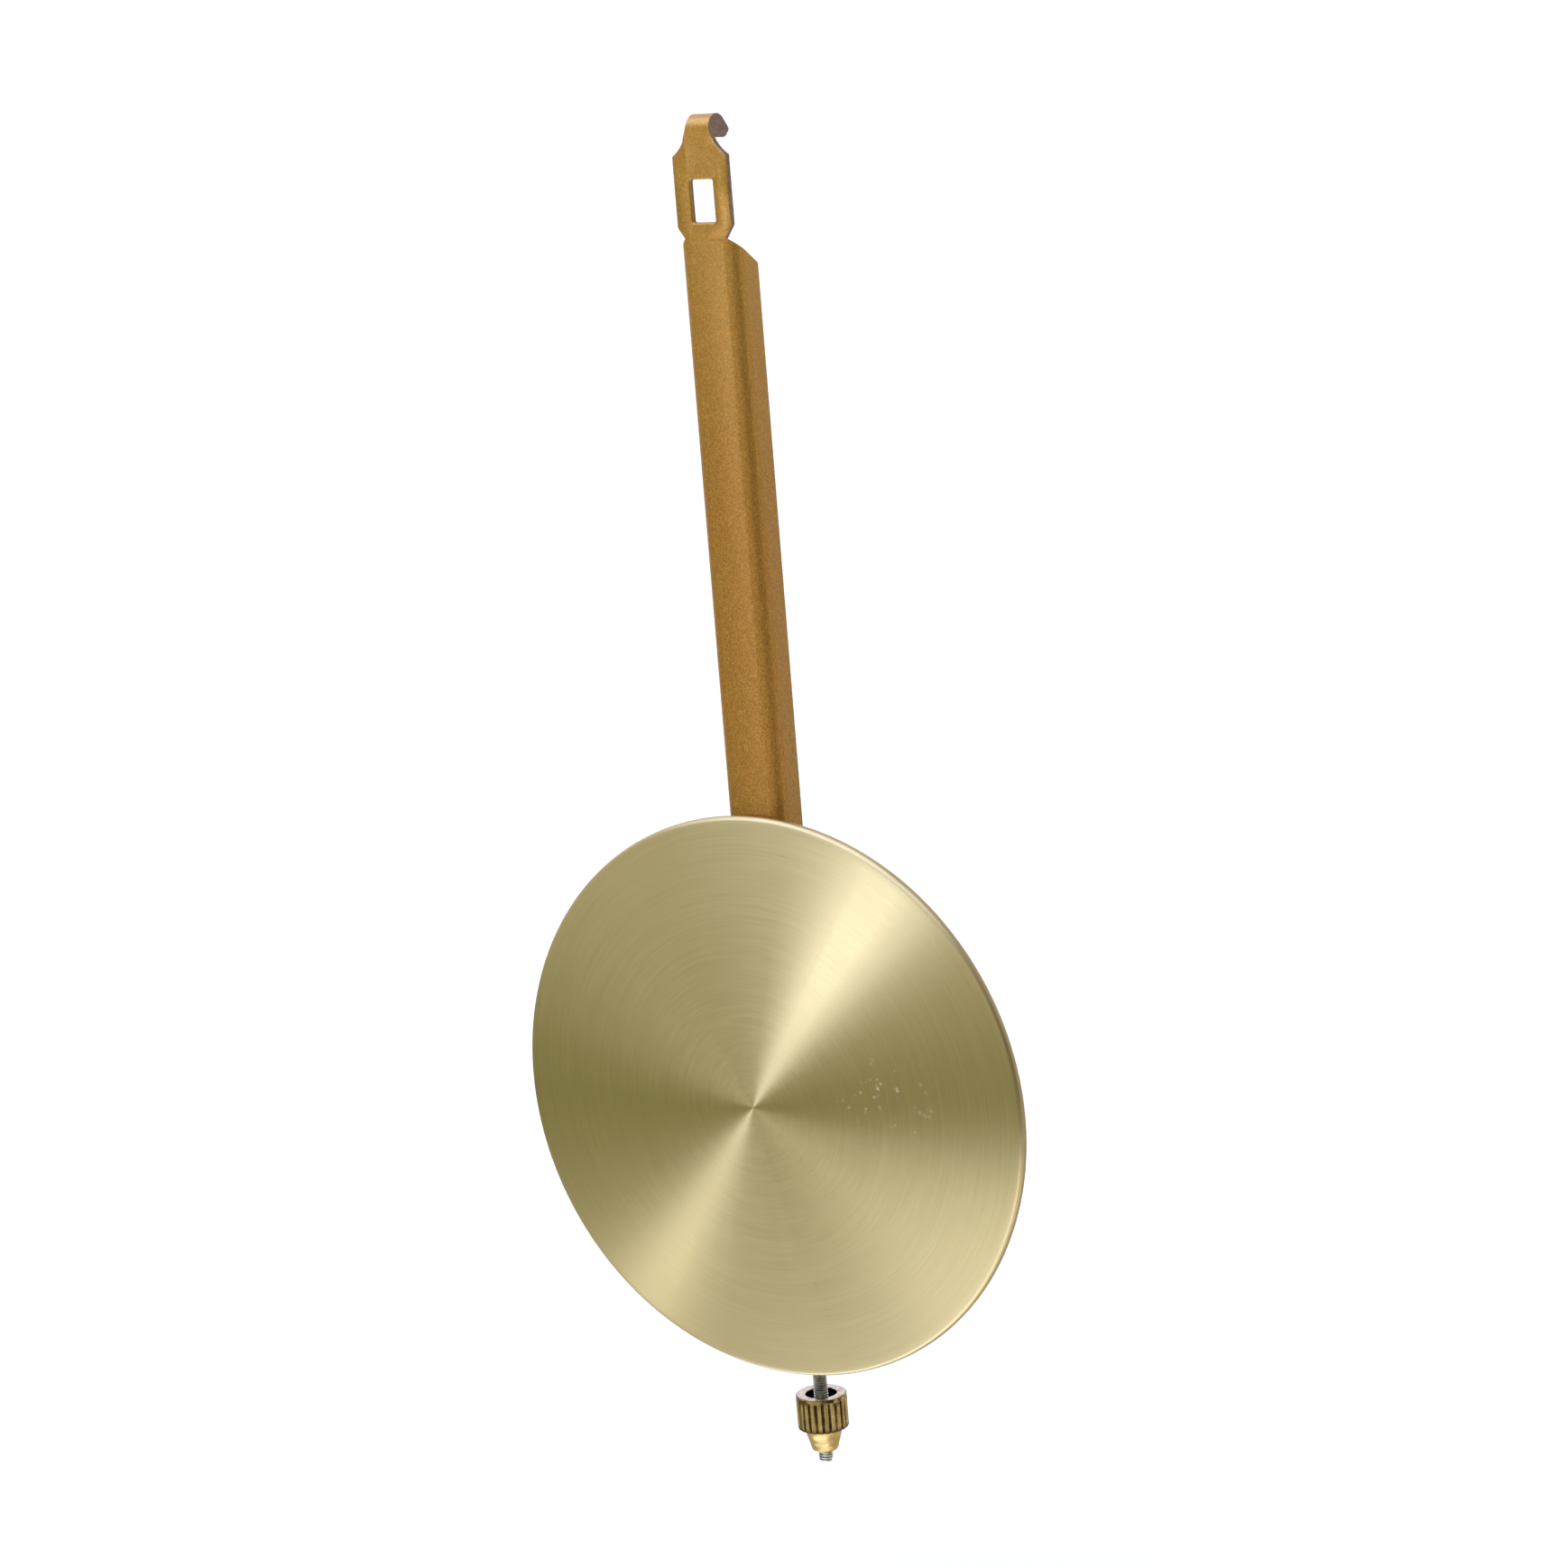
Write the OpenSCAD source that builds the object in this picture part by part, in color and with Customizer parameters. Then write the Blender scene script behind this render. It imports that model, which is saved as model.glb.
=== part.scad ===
// Clock pendulum: a folded sheet stick with a hook, a spun disc bob and a rating nut.
// The origin is the axis of the hook's seat. +Z points up the stick and the bob faces -Y.

/* [Hook] */
// Inside radius of the hook
hook_r = 1.8; // [1.4:0.1:2.4]
// Angle that the hook curls through, from the front face over the top
hook_turn = 140; // [125:5:155]
// Length of the hook's tail, from the end of the curl to the rounded tip
hook_tail = 3.4; // [2.8:0.1:5]
// Width of the hook strip
hook_w = 4.4; // [3.6:0.1:5]
// Radius of the corners at the tail's tip
tip_r = 1.4; // [0.6:0.1:1.4]

/* [Stick] */
// Thickness of the stick's sheet
sheet = 1; // [0.8:0.1:1.2]
// Width of the flat tab under the hook
tab_w = 10.8; // [9.6:0.2:12]
// Radius of the hollow curves between the hook and the tab
shoulder_r = 7; // [6:0.1:8]
// Distance from the hook's axis up to where the hollow curves meet the hook strip
shoulder_up = 2; // [1:0.1:2.1]
// Distance from the hook's axis down to the tab's lower corners
tab_l = 15.4; // [14:0.1:18]
// Width of the window in the tab
window_w = 4.4; // [3:0.1:5]
// Height of the window in the tab
window_h = 7.1; // [5:0.1:8]
// Distance from the tab's lower corners up to the window
window_up = 0.5; // [0.3:0.1:1.5]
// Radius of the window's corners
window_r = 0.4; // [0.2:0.1:0.8]
// Width of the neck between the tab and the channel
neck_w = 8; // [7:0.1:9]
// Height of the notch between the tab's lower corners and the neck
notch_h = 2.05; // [1.5:0.05:3]
// Width of the channel
channel_w = 11.6; // [10.8:0.1:12.4]
// Depth of the channel, from its front face to its open back
channel_d = 6.5; // [6:0.1:8]
// Outside radius of the channel's two bends
bend_r = 2.8; // [2:0.1:3]
// Height of the slanted cut at the top of the channel's sides
slant_h = 4.9; // [3:0.1:6]
// Distance from the hook's axis down to the middle of the bob
bob_drop = 165.3; // [140:0.1:180]
// Inside radius of the bend into the lug at the stick's lower end
lug_bend_r = 0.6; // [0.4:0.1:1]

/* [Bob] */
// Radius of the bob
bob_r = 50; // [48:0.5:55]
// Height of the dome in front of the rim
dome_h = 4.8; // [4.4:0.1:6]
// Radius of the rim's rolled edge
rim_r = 1; // [0.9:0.05:1.3]
// Thickness of the spun shell
shell_t = 0.5; // [0.4:0.05:0.6]
// Width of the rim's flat lip behind the back plate
lip_w = 1.6; // [1:0.1:2]
// Thickness of the back plate
plate_t = 0.6; // [0.4:0.05:0.7]

/* [Guides and foot] */
// Thickness of the guides and of the foot bracket
strap_t = 0.8; // [0.6:0.05:1]
// Inside radius of the bends in the guides and in the foot bracket
strap_bend_r = 0.4; // [0.2:0.05:0.6]
// Height of each guide along the stick
guide_h = 8; // [6:0.5:10]
// Distance from the bob's middle up to the lower edge of the upper guide
guide_up = 24; // [20:0.5:27]
// Width of each flange that lies on the back plate
flange_w = 7; // [6:0.5:8]
// Shank diameter of the rivets
rivet_d = 2; // [1.6:0.1:2.4]
// Head diameter of the rivets
rivet_head_d = 3.8; // [3.2:0.1:4.4]
// Head height of the rivets
rivet_head_h = 0.9; // [0.6:0.1:1.2]
// Depth that the guides' rivets reach into the weight
rivet_grip = 1; // [0.5:0.1:1.5]
// Height of the flat heads that close the rivets from inside
rivet_close_h = 0.5; // [0.3:0.1:0.7]
// Distance from the bob's lower edge up to the top of the foot's shelf
foot_in = 4.5; // [4.4:0.1:6]
// Height of the foot's flange above its shelf
foot_h = 6.5; // [5.5:0.5:8]
// Width of the foot's shelf
shelf_w = 10; // [8:0.5:11]

/* [Leaf spring] */
// Thickness of the leaf spring that grips the stick
spring_t = 0.3; // [0.2:0.05:0.4]
// Width of the leaf spring
spring_w = 6; // [4.5:0.5:7]
// Length of the leaf spring's bow along the stick
bow_l = 22; // [18:0.5:26]

/* [Rod and bush] */
// Diameter over the rod's thread
rod_d = 2.5; // [2:0.1:3]
// Distance from the stick's front face back to the rod's axis
rod_set = 6.7; // [6:0.1:7.5]
// Length of the rod that sticks out under the nut
rod_out = 2.2; // [1:0.1:5]
// Diameter of the head that rivets the rod to the stick
rod_head_d = 4; // [3.6:0.1:5]
// Height of the head that rivets the rod to the stick
rod_head_h = 0.8; // [0.5:0.1:1]
// Outside diameter of the bush in the foot
bush_d = 5; // [4.6:0.1:5.2]
// Diameter of the bush's collar under the shelf
bush_collar_d = 6.6; // [6:0.1:8]
// Height of the bush's collar
bush_collar_h = 0.8; // [0.5:0.1:1.2]
// Length of the bush that shows below the bob's edge
bush_out = 1.5; // [0.5:0.1:2]
// Length of bare rod between the bush and the nut
nut_gap = 5; // [4:0.1:8]

/* [Rating nut] */
// Diameter over the nut's knurl
nut_d = 9; // [8:0.1:10]
// Full height of the nut
nut_h = 10.5; // [9:0.1:12]
// Height of the plain collar at the top of the nut
nut_collar_h = 0.8; // [0.5:0.1:1.5]
// Height of the knurled part
knurl_h = 5.4; // [4:0.1:6.5]
// Chamfer round the nut's top
nut_chamfer = 0.3; // [0.1:0.05:0.5]
// Number of ribs round the nut
knurl_n = 22; // [16:1:28]
// Depth of the grooves between the ribs
knurl_depth = 0.3; // [0.2:0.05:0.5]
// Diameter of the recess in the nut's top
recess_d = 5.6; // [5.5:0.1:6]
// Depth of the recess in the nut's top
recess_h = 2.2; // [1:0.1:3]
// Diameter of the nut's cone where it leaves the knurl
cone_d = 6.9; // [6:0.1:7.5]
// Diameter of the nut's cone at its lower end
cone_end_d = 4.8; // [4.2:0.1:5.5]
// Radius of the round edge at the cone's lower end
cone_edge_r = 0.6; // [0.3:0.1:0.8]

/* [Travel and clearances] */
// Distance that the bob and the nut can be raised on the stick
travel_up = 8; // [4:0.5:8]
// Distance that the bob and the nut can be lowered on the stick
travel_down = 2; // [1:0.1:2]
// Room left at each end of the travel
stop_gap = 0.7; // [0.5:0.1:1]
// Clearance between the bob's guides and the stick
guide_clear = 0.2; // [0.15:0.05:0.3]
// Clearance between the leaf spring's bow and the stick
spring_clear = 0.1; // [0.05:0.05:0.2]
// Clearance round the rod in the bush
bush_clear = 0.1; // [0.05:0.01:0.15]
// Clearance round the rod in the nut
thread_clear = 0.05; // [0.03:0.01:0.1]
// Clearance between the weight and the shell
weight_clear = 0.3; // [0.2:0.05:0.5]
// Room between the weight's edge and the foot's rivets
weight_gap = 1.6; // [1:0.1:3]

/* [Hidden] */
$fn = 96;
// Length by which a cut runs past the face that it opens
over = 1;
// Number of straight steps that carry the slanted cut round each bend
bend_cuts = 6;

// Depths, measured back from the hook's axis
stick_front = -(hook_r + sheet);
stick_back = stick_front + channel_d;
rod_y = stick_front + rod_set;
plate_back = stick_front - guide_clear - strap_t;
plate_front = plate_back - plate_t;
rim_back = plate_back + shell_t;
rim_front = rim_back - 2 * rim_r;
strap_inside = stick_back + guide_clear;
strap_outside = strap_inside + strap_t;
leaf_front = strap_inside - spring_t;

// Heights, measured up from the hook's axis
tab_bottom = -tab_l;
neck_z = tab_bottom - notch_h;
bob_z = -bob_drop;
foot_top = bob_z - bob_r + foot_in;
lug_bottom = foot_top + travel_up + stop_gap;
lug_top = lug_bottom + sheet;
channel_end = lug_top + 2 * lug_bend_r;
upper_guide_z = bob_z + guide_up;
lower_guide_z = lug_top + rod_head_h + travel_down + stop_gap;
bush_end = bob_z - bob_r - bush_out;
nut_top = bush_end - nut_gap;
nut_bottom = nut_top - nut_h;
rod_end = nut_bottom - rod_out;

// Sizes worked out from the others
lug_w = channel_w - 2 * bend_r;
guide_half_in = channel_w / 2 + guide_clear;
guide_half_out = guide_half_in + strap_t;
strap_half_w = guide_half_out + flange_w;
rivet_x = guide_half_out + flange_w / 2;
plate_r = bob_r - rim_r;
dome_r = (pow(plate_r, 2) + pow(dome_h, 2)) / (2 * dome_h);
rod_tenon_d = 0.7 * rod_d;
rod_chamfer = rod_d / 8;
guide_rivets_at = [for (z = [upper_guide_z, lower_guide_z], x = [-rivet_x, rivet_x])
    [x, z + guide_h / 2]];
foot_rivets_at = [for (x = [-rivet_x, rivet_x]) [x, foot_top + foot_h / 2]];
weight_r = norm(foot_rivets_at[0] - [0, bob_z]) - rivet_head_d / 2 - weight_gap;

// A round bar of diameter d along Z, from height z0 to z1
module bar_z(d, z0, z1) {
    translate([0, 0, z0])
        cylinder(d = d, h = z1 - z0);
}

// A round bar of diameter d along Y at [x, z], from depth y0 to y1
module bar_y(d, at, y0, y1) {
    translate([at[0], y1, at[1]])
        rotate([90, 0, 0])
            cylinder(d = d, h = y1 - y0);
}

// A front view, given thickness t back from depth y0
module plate_y(y0, t) {
    translate([0, y0 + t, 0])
        rotate([90, 0, 0])
            linear_extrude(t)
                children();
}

// A side view in Y and Z, given width w across X
module across_x(w) {
    translate([-w / 2, 0, 0])
        rotate([90, 0, 90])
            linear_extrude(w)
                children();
}

// A shape turned about the bob's axis, from a profile in radius and distance forward of the rim
module spun() {
    translate([0, rim_front, bob_z])
        rotate([90, 0, 0])
            rotate_extrude()
                children();
}

// The bend from an upright sheet with its front at y0 into a shelf with its underside at z0
module shelf_bend(y0, z0, t, r, w) {
    translate([0, y0 + t + r, z0 + t + r])
        rotate([-90, 0, -90])
            rotate_extrude(angle = 90)
                translate([r, -w / 2])
                    square([t, w]);
}

// A shelf of width w and thickness t from depth y0 back to the rod, with a round end
module shelf(y0, z0, t, w) {
    translate([0, 0, z0])
        linear_extrude(t) {
            translate([-w / 2, y0])
                square([w, rod_y - y0]);
            translate([0, rod_y])
                circle(d = w);
        }
}

// Outline w wide and d deep, with its two front corners rounded by r
module front_rounded(w, d, r) {
    translate([-w / 2, r])
        square([w, d - r]);
    translate([-w / 2 + r, 0])
        square([w - 2 * r, d]);
    for (side = [-1, 1])
        translate([side * (w / 2 - r), r])
            circle(r);
}

module rounded_window() {
    square([window_w, window_h - 2 * window_r], center = true);
    square([window_w - 2 * window_r, window_h], center = true);
    for (x = [-1, 1], z = [-1, 1])
        translate([x * (window_w / 2 - window_r), z * (window_h / 2 - window_r)])
            circle(window_r);
}

// Front view of the tab up to height top, narrowing in two hollow curves to the hook strip
module tab_outline(top) {
    half = tab_w / 2;
    difference() {
        polygon([
            [-lug_w / 2, neck_z - sheet], [lug_w / 2, neck_z - sheet],
            [neck_w / 2, neck_z], [half, tab_bottom], [half, top],
            [-half, top], [-half, tab_bottom], [-neck_w / 2, neck_z]]);
        for (side = [-1, 1])
            translate([side * (hook_w / 2 + shoulder_r), shoulder_up])
                circle(shoulder_r);
        translate([0, tab_bottom + window_up + window_h / 2])
            rounded_window();
    }
}

// A strip of width w that curls back from the front, through the given angle
module curl(w, angle) {
    rotate_extrude(angle = angle)
        translate([hook_r, -w / 2])
            square([sheet, w]);
}

// The shoulders run up into the strip, which curls back and then runs straight to a round tip
module hook() {
    intersection() {
        rotate([90, 0, -90])
            curl(tab_w, 90);
        plate_y(stick_front, hook_r + sheet) {
            tab_outline(shoulder_up);
            translate([-hook_w / 2, shoulder_up])
                square([hook_w, hook_r + sheet - shoulder_up]);
        }
    }
    rotate([90, 0, -90]) {
        rotate([0, 0, 90])
            curl(hook_w, hook_turn - 90);
        rotate([0, 0, hook_turn])
            translate([hook_r, 0, 0])
                rotate([0, 90, 0])
                    linear_extrude(sheet)
                        translate([0, hook_tail])
                            mirror([0, 1])
                                front_rounded(hook_w, hook_tail, tip_r);
    }
}

// The folded part of the stick. The slanted cut at its top is straight on the flat blank
module channel() {
    first = asin(max(0, neck_w - lug_w) / (2 * bend_r));
    slope = slant_h / (bend_r * (90 - first) * PI / 180 + channel_d - bend_r);
    cut = [for (i = [0 : bend_cuts]) let (a = first + (90 - first) * i / bend_cuts)
        [stick_front + bend_r * (1 - cos(a)), neck_z - slope * bend_r * (a - first) * PI / 180]];
    difference() {
        translate([0, stick_front, channel_end])
            linear_extrude(neck_z - channel_end)
                difference() {
                    front_rounded(channel_w, channel_d, bend_r);
                    translate([0, sheet])
                        front_rounded(channel_w - 2 * sheet, channel_d, bend_r - sheet);
                }
        across_x(channel_w + 2 * over)
            polygon(concat(cut, [
                [stick_back + over, neck_z - slant_h - slope * over],
                [stick_back + over, neck_z + over], [cut[0][0], neck_z + over]]));
    }
}

// The web runs on below the channel and bends back into the lug that holds the rod
module end_lug() {
    bend = lug_bend_r + sheet;
    translate([-lug_w / 2, stick_front, lug_bottom + bend])
        cube([lug_w, sheet, channel_end + over - lug_bottom - bend]);
    shelf_bend(stick_front, lug_bottom, sheet, lug_bend_r, lug_w);
    shelf(stick_front + bend, lug_bottom, sheet, lug_w);
}

module pendulum_stick() {
    color("darkgoldenrod")
        difference() {
            union() {
                plate_y(stick_front, sheet)
                    tab_outline(0);
                hook();
                channel();
                end_lug();
            }
            translate([0, rod_y, 0])
                bar_z(rod_tenon_d, lug_bottom - over, lug_top + over);
        }
}

module threaded_rod() {
    color("silver")
        translate([0, rod_y, 0]) {
            translate([0, 0, rod_end])
                cylinder(d1 = rod_d - 2 * rod_chamfer, d2 = rod_d, h = rod_chamfer);
            bar_z(rod_d, rod_end + rod_chamfer, lug_bottom);
            bar_z(rod_tenon_d, lug_bottom - over, lug_top + rod_head_h / 2);
            bar_z(rod_head_d, lug_top, lug_top + rod_head_h);
        }
}

// Profile of the space under a dome whose surface lies in below the outside of the shell
module dome_outline(in) {
    translate([0, dome_h - dome_r])
        circle(dome_r - in, $fn = 360);
}

// A shallow dome with its edge rolled round and behind the back plate
module bob_face() {
    color("goldenrod")
        spun() {
            intersection() {
                difference() {
                    dome_outline(0);
                    dome_outline(shell_t);
                }
                translate([0, -2 * rim_r])
                    square([plate_r, dome_h + 2 * rim_r + over]);
            }
            intersection() {
                translate([plate_r, -rim_r])
                    difference() {
                        circle(rim_r);
                        circle(rim_r - shell_t);
                    }
                translate([plate_r, -2 * rim_r])
                    square([rim_r, 2 * rim_r]);
            }
            translate([plate_r - lip_w, -2 * rim_r])
                square([lip_w, shell_t]);
        }
}

module bob_weight() {
    color("dimgray")
        difference() {
            spun()
                intersection() {
                    dome_outline(shell_t + weight_clear);
                    translate([0, rim_front - plate_front])
                        square([weight_r, dome_h + 2 * rim_r]);
                }
            for (at = guide_rivets_at)
                bar_y(rivet_d, at, plate_front - rivet_grip, plate_front + over);
        }
}

module bob_backplate() {
    color("gainsboro")
        difference() {
            spun()
                translate([0, rim_front - plate_back])
                    square([plate_r, plate_t]);
            for (at = concat(guide_rivets_at, foot_rivets_at))
                bar_y(rivet_d, at, plate_front - over, plate_back + over);
        }
}

// A strap with its lower edge at z0: two flanges on the back plate and a bridge behind the stick
module guide(z0) {
    bend = strap_bend_r + strap_t;
    difference() {
        translate([0, 0, z0])
            linear_extrude(guide_h)
                difference() {
                    union() {
                        translate([0, strap_outside])
                            mirror([0, 1])
                                front_rounded(2 * guide_half_out, strap_outside - plate_back, bend);
                        translate([-strap_half_w, plate_back])
                            square([2 * strap_half_w, strap_t]);
                    }
                    translate([0, strap_inside])
                        mirror([0, 1])
                            front_rounded(2 * guide_half_in, strap_inside - plate_back + over,
                                strap_bend_r);
                }
        for (at = guide_rivets_at)
            bar_y(rivet_d, at, plate_back - over, plate_back + strap_t + over);
    }
}

module upper_guide() {
    color("lightsteelblue")
        difference() {
            guide(upper_guide_z);
            bar_y(rivet_d, [0, upper_guide_z + guide_h / 2], leaf_front, strap_outside + over);
        }
}

module lower_guide() {
    color("lightsteelblue")
        guide(lower_guide_z);
}

// A domed rivet head at [x, z], standing back from depth y0
module rivet_head(at, y0) {
    cap_r = (pow(rivet_head_d / 2, 2) + pow(rivet_head_h, 2)) / (2 * rivet_head_h);
    intersection() {
        translate([at[0], y0 + rivet_head_h - cap_r, at[1]])
            sphere(cap_r);
        bar_y(rivet_head_d, at, y0, y0 + rivet_head_h);
    }
}

module guide_rivets() {
    color("silver")
        for (at = guide_rivets_at) {
            rivet_head(at, plate_back + strap_t);
            bar_y(rivet_d, at, plate_front - rivet_grip, plate_back + strap_t);
        }
}

module foot_rivets() {
    color("silver")
        for (at = foot_rivets_at) {
            rivet_head(at, plate_back + strap_t);
            bar_y(rivet_d, at, plate_front, plate_back + strap_t);
            bar_y(rivet_head_d, at, plate_front - rivet_close_h, plate_front);
        }
}

// The leaf lies inside the upper guide, then bows forward inside the channel
module guide_spring() {
    bow_front = stick_front + sheet + spring_clear;
    rise = leaf_front - bow_front;
    bow_r = (pow(bow_l / 2, 2) + pow(rise, 2)) / (2 * rise);
    color("slategray")
        difference() {
            union() {
                across_x(spring_w)
                    intersection() {
                        translate([bow_front + bow_r, upper_guide_z - bow_l / 2])
                            difference() {
                                circle(bow_r);
                                circle(bow_r - spring_t);
                            }
                        translate([bow_front, upper_guide_z - bow_l])
                            square([strap_inside - bow_front, 2 * bow_l]);
                    }
                translate([-spring_w / 2, leaf_front, upper_guide_z - spring_t])
                    cube([spring_w, spring_t, guide_h + spring_t]);
            }
            bar_y(rivet_d, [0, upper_guide_z + guide_h / 2], leaf_front - over, strap_inside + over);
        }
}

module spring_rivet() {
    at = [0, upper_guide_z + guide_h / 2];
    color("silver") {
        rivet_head(at, strap_outside);
        bar_y(rivet_d, at, leaf_front, strap_outside);
        bar_y(rivet_head_d, at, leaf_front - rivet_close_h, leaf_front);
    }
}

// A flange on the back plate with a shelf that carries the bush round the rod
module foot_bracket() {
    bend = strap_bend_r + strap_t;
    underside = foot_top - strap_t;
    color("lightsteelblue")
        difference() {
            union() {
                intersection() {
                    translate([-strap_half_w, plate_back, underside + bend])
                        cube([2 * strap_half_w, strap_t, foot_h - strap_bend_r]);
                    bar_y(2 * (plate_r - lip_w - guide_clear), [0, bob_z],
                        plate_back - over, plate_back + strap_t + over);
                }
                shelf_bend(plate_back, underside, strap_t, strap_bend_r, shelf_w);
                shelf(plate_back + bend, underside, strap_t, shelf_w);
            }
            for (at = foot_rivets_at)
                bar_y(rivet_d, at, plate_back - over, plate_back + strap_t + over);
            translate([0, rod_y, 0])
                bar_z(bush_d, underside - over, foot_top + over);
        }
}

module rod_bush() {
    color("gold")
        translate([0, rod_y, 0])
            difference() {
                union() {
                    bar_z(bush_d, bush_end, foot_top);
                    bar_z(bush_collar_d, foot_top - strap_t - bush_collar_h, foot_top - strap_t);
                }
                bar_z(rod_d + 2 * bush_clear, bush_end - over, foot_top + over);
            }
}

// Profile of the turned nut in radius and height above its lower end
module nut_outline() {
    cone_h = nut_h - nut_collar_h - knurl_h;
    edge = cone_end_d / 2 - cone_edge_r;
    difference() {
        union() {
            polygon([[0, 0], [edge, 0], [cone_end_d / 2, cone_edge_r], [cone_d / 2, cone_h],
                [nut_d / 2, cone_h], [nut_d / 2, nut_h - nut_chamfer],
                [nut_d / 2 - nut_chamfer, nut_h], [0, nut_h]]);
            translate([edge, cone_edge_r])
                circle(cone_edge_r);
        }
        translate([0, -over])
            square([rod_d / 2 + thread_clear, nut_h + 2 * over]);
        translate([0, nut_h - recess_h])
            square([recess_d / 2, recess_h + over]);
    }
}

module rating_nut() {
    groove = knurl_depth * sqrt(2);
    knurl_z = nut_bottom + nut_h - nut_collar_h - knurl_h;
    color("peru")
        translate([0, rod_y, 0])
            difference() {
                translate([0, 0, nut_bottom])
                    rotate_extrude()
                        nut_outline();
                for (i = [0 : knurl_n - 1])
                    rotate([0, 0, i * 360 / knurl_n])
                        translate([nut_d / 2, 0, knurl_z - over])
                            rotate([0, 0, 45])
                                translate([-groove / 2, -groove / 2, 0])
                                    cube([groove, groove, knurl_h + over]);
            }
}

pendulum_stick();
threaded_rod();
bob_face();
bob_weight();
bob_backplate();
upper_guide();
lower_guide();
guide_rivets();
guide_spring();
spring_rivet();
foot_bracket();
foot_rivets();
rod_bush();
rating_nut();
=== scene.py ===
"""Looks of the clock pendulum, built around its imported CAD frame."""

import math

import bmesh
import bpy
from bpy.props import FloatProperty, FloatVectorProperty, IntProperty, PointerProperty
from mathutils import Matrix, Vector


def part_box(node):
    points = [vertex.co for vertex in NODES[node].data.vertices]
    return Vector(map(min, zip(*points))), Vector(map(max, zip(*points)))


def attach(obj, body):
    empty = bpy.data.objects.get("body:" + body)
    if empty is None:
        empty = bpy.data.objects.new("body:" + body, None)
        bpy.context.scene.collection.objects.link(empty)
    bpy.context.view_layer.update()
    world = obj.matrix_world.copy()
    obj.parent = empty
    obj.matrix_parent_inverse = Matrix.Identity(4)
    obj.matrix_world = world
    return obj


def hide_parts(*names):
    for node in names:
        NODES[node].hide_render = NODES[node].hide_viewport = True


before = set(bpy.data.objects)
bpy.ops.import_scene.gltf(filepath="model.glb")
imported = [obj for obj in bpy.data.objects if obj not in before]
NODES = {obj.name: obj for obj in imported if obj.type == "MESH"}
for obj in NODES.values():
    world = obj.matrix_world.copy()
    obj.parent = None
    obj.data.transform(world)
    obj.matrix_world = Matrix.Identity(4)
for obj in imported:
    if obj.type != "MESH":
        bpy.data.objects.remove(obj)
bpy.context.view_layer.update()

bl_info = {
    "name": "Clock Pendulum",
    "version": (1, 0, 0),
    "blender": (4, 5, 0),
    "location": "View3D > Sidebar > Pendulum",
    "description": "Builds the stick, the bob, the rod and the rating nut of a clock pendulum",
    "category": "Object",
}

MM = 0.001
TURN = 2 * math.pi
BOB_LOW, BOB_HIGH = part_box("bob_face")
BOB_AXIS_Z = (BOB_LOW.z + BOB_HIGH.z) / 2
NUT_LOW, NUT_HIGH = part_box("rating_nut")
ROD_LOW, ROD_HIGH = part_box("threaded_rod")
ROD_AXIS_Y = (NUT_LOW.y + NUT_HIGH.y) / 2

# Angles between faces: a sharper edge is rounded, and a flatter one is taken out
SHARP = math.radians(35)
FLAT = math.radians(0.6)

# Points closer than these are one point, in a new mesh and in the copy of a CAD node
MERGE = 1e-7
CAD_MERGE = 2e-6
CAD_SLIVER = 1e-6

# The material slot of the faces that the Bevel modifier makes
ROUNDED = 1

# The bob's rim: the radius where its roll is centred, and the radius of the roll
RIM_CREST_R = 0.049
RIM_ROLL_R = 0.001

# Places on the folded sheet between which its finish changes
TAB_FRONT_Y = -0.0027  # just behind the tab's front face
TAB_TOP_Z = -0.0002  # just under the bend of the hook
SHOULDER_Z = -0.0045  # just under the hollow curves between the hook and the tab
NOTCH_Z = -0.0165  # halfway down the notch under the tab
NECK_Z = -0.0185  # just under that notch
SLANT_Z = -0.05  # well under the slanted cuts at the top of the channel's sides
CHANNEL_BACK_Y = 0.0036  # just in front of the channel's back edges

# The rating nut: its bore, its cone where the knurl starts, and its bevels
NUT_BORE_R = 0.0013
NUT_CONE_R = 0.00345
NUT_BEVEL = 0.0001
NUT_CORNER = 0.0002

# Turns what a lathe makes on its back: its height runs along Y, and X stays
LAID_BACK = Matrix(((1, 0, 0, 0), (0, 0, 1, 0), (0, -1, 0, 0), (0, 0, 0, 1)))


def size(name, description, default, low, high):
    return FloatProperty(
        name=name, description=description, default=default, min=low, max=high,
        subtype="DISTANCE", unit="LENGTH", precision=5)


def colour(name, description, default):
    return FloatVectorProperty(
        name=name, description=description, default=default, size=3, min=0, max=1,
        subtype="COLOR")


class PendulumSizes(bpy.types.PropertyGroup):
    """Sizes of the fine shapes that the visual model adds"""

    edge_round: size(
        "Sheet edge", "Radius of the punched front edges of the tab", 0.0004, 0.00005, 0.0005)
    dome_h: size("Dome height", "Height of the bob's dome over its rim", 0.0048, 0.003, 0.007)
    shell_t: size("Shell", "Thickness of the bob's spun shell", 0.0005, 0.0003, 0.0008)
    lip_w: size("Lip", "Width of the lip behind the back plate", 0.0016, 0.001, 0.003)
    rod_d: size("Thread diameter", "Diameter over the rod's thread", 0.0025, 0.002, 0.003)
    pitch: size("Thread pitch", "Rise of the thread in one turn", 0.00045, 0.0003, 0.0008)
    thread_h: size("Thread depth", "Height of the thread over its root", 0.00026, 0.0001, 0.0004)
    ribs: IntProperty(
        name="Ribs", description="Number of knurl ribs round the nut", default=22, min=12, max=40)
    groove_w: size("Groove", "Width of the groove between two ribs", 0.00066, 0.0002, 0.0009)
    groove_h: size("Groove depth", "Depth of the groove between two ribs", 0.0003, 0.0001, 0.0006)
    floor_drop: size("Floor drop", "Gap between the rod's end and the floor", 0.06, 0.0, 0.5)


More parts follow.
